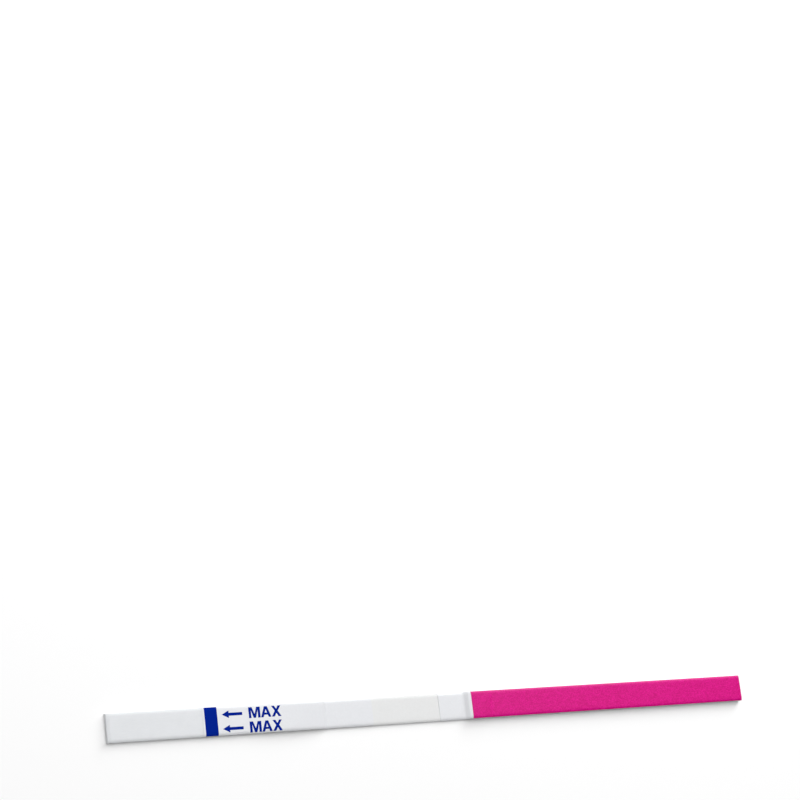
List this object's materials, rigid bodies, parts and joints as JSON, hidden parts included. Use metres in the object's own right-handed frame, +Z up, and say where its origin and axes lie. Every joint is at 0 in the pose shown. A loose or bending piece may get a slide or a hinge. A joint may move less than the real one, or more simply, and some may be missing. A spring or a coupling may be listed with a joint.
{
  "type": "lateral flow dipstick test strip",
  "caption": "Slim flat lateral flow dipstick: white card with sample pad, printed limit film, membrane window and a long coloured handle tape.",
  "frame": {"origin": "middle of the backing card's underside", "axes": "+X along the strip from the dipped sample end to the handle end, +Y across the strip, +Z up through the layers"},
  "size_m": [0.11, 0.004, 0.0012],
  "materials": {
    "card": "white vinyl card, satin",
    "membrane": "microporous white membrane, matte",
    "conjugate_fibre": "glass fibre pad, matte",
    "sample_fibre": "pressed cotton fibre pad, matte",
    "absorbent_fibre": "thick cellulose blotting pad, matte",
    "clear_film": "thin whitish self-adhesive film, satin gloss",
    "handle_tape": "thin magenta tape over fibre, satin",
    "blue_ink": "solid blue print, satin"
  },
  "bodies": {
    "root": {"backing_card": "card", "membrane": "membrane", "conjugate_pad": "conjugate_fibre", "sample_pad": "sample_fibre", "absorbent_pad": "absorbent_fibre", "limit_film": "clear_film", "junction_film": "clear_film", "handle_tape": "handle_tape", "limit_band": "blue_ink", "limit_arrows": "blue_ink"}
  },
  "joints": []
}
